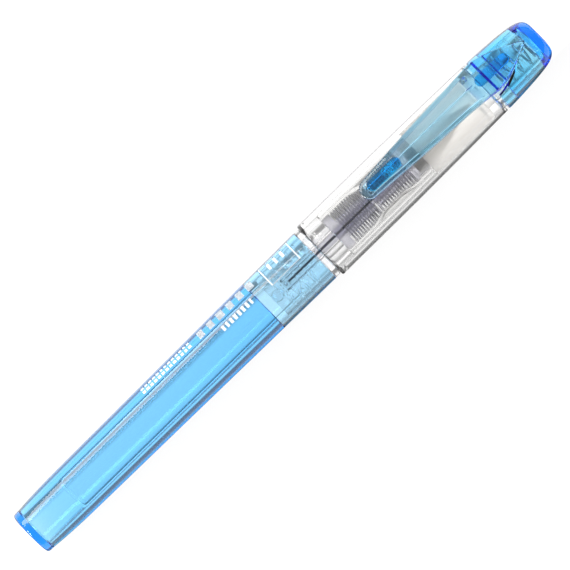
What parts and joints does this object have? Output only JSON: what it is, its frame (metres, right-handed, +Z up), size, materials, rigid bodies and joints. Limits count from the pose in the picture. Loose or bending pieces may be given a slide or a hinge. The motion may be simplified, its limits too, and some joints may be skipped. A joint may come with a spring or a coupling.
{
  "type": "fountain pen",
  "caption": "Capped clear plastic fountain pen with a blue barrel and clip, a finned ink collector, a pull-off cap and a sprung inner cap.",
  "frame": {"origin": "the middle of the pen's bounding box in X and Y, on the plane that it lies on", "axes": "+X along the pen towards the cap's round end, +Z up through the clip"},
  "size_m": [0.1386, 0.013, 0.015],
  "materials": {
    "blue_barrel": "polished, tinted clear plastic",
    "clear_section": "polished clear plastic",
    "grey_comb": "translucent lavender-grey moulded plastic",
    "dark_strip": "dark ink-stained plastic",
    "steel": "polished stamped steel",
    "clear_cartridge": "thin clear plastic",
    "glass_ball": "polished",
    "clear_cap": "polished clear plastic",
    "milky_inner_cap": "satin, slightly milky clear plastic",
    "spring_steel": "drawn wire",
    "blue_hood": "polished, tinted clear plastic",
    "blue_clip": "polished, tinted clear plastic"
  },
  "bodies": {
    "section": {"grip_section": "clear_section", "piercing_nipple": "clear_section", "rear_comb": "grey_comb", "front_comb": "grey_comb", "feed_core": "grey_comb", "ink_strip": "dark_strip", "nib": "steel"},
    "barrel": {"barrel": "blue_barrel"},
    "cartridge": {"cartridge_body": "clear_cartridge"},
    "ball": {"cartridge_ball": "glass_ball"},
    "cap": {"cap_body": "clear_cap", "hood": "blue_hood", "seal_spring": "spring_steel"},
    "inner_cap": {"inner_cap": "milky_inner_cap"},
    "clip": {"clip": "blue_clip"}
  },
  "joints": [
    {"name": "barrel_off", "type": "slide", "parent": "section", "child": "barrel", "axis": [-1, 0, 0], "range_m": [0, 0.07]},
    {"name": "cartridge_off", "type": "slide", "parent": "section", "child": "cartridge", "axis": [-1, 0, 0], "range_m": [0, 0.0082]},
    {"name": "ball_roll", "type": "slide", "parent": "cartridge", "child": "ball", "axis": [-1, 0, 0], "range_m": [0, 0.0535]},
    {"name": "cap_off", "type": "slide", "parent": "section", "child": "cap", "axis": [1, 0, 0], "range_m": [0, 0.045]},
    {"name": "inner_cap_press", "type": "slide", "parent": "cap", "child": "inner_cap", "axis": [1, 0, 0], "range_m": [0, 0.0018], "stiffness_N_per_m": 120, "springref_m": -0.003, "deforming": ["seal_spring"]},
    {"name": "clip_flex", "type": "hinge", "parent": "cap", "child": "clip", "pos_m": [0.06535, 0, 0.01166], "axis": [0, 1, 0], "range_deg": [0, 3.5], "stiffness_Nm_per_rad": 1.5}
  ]
}
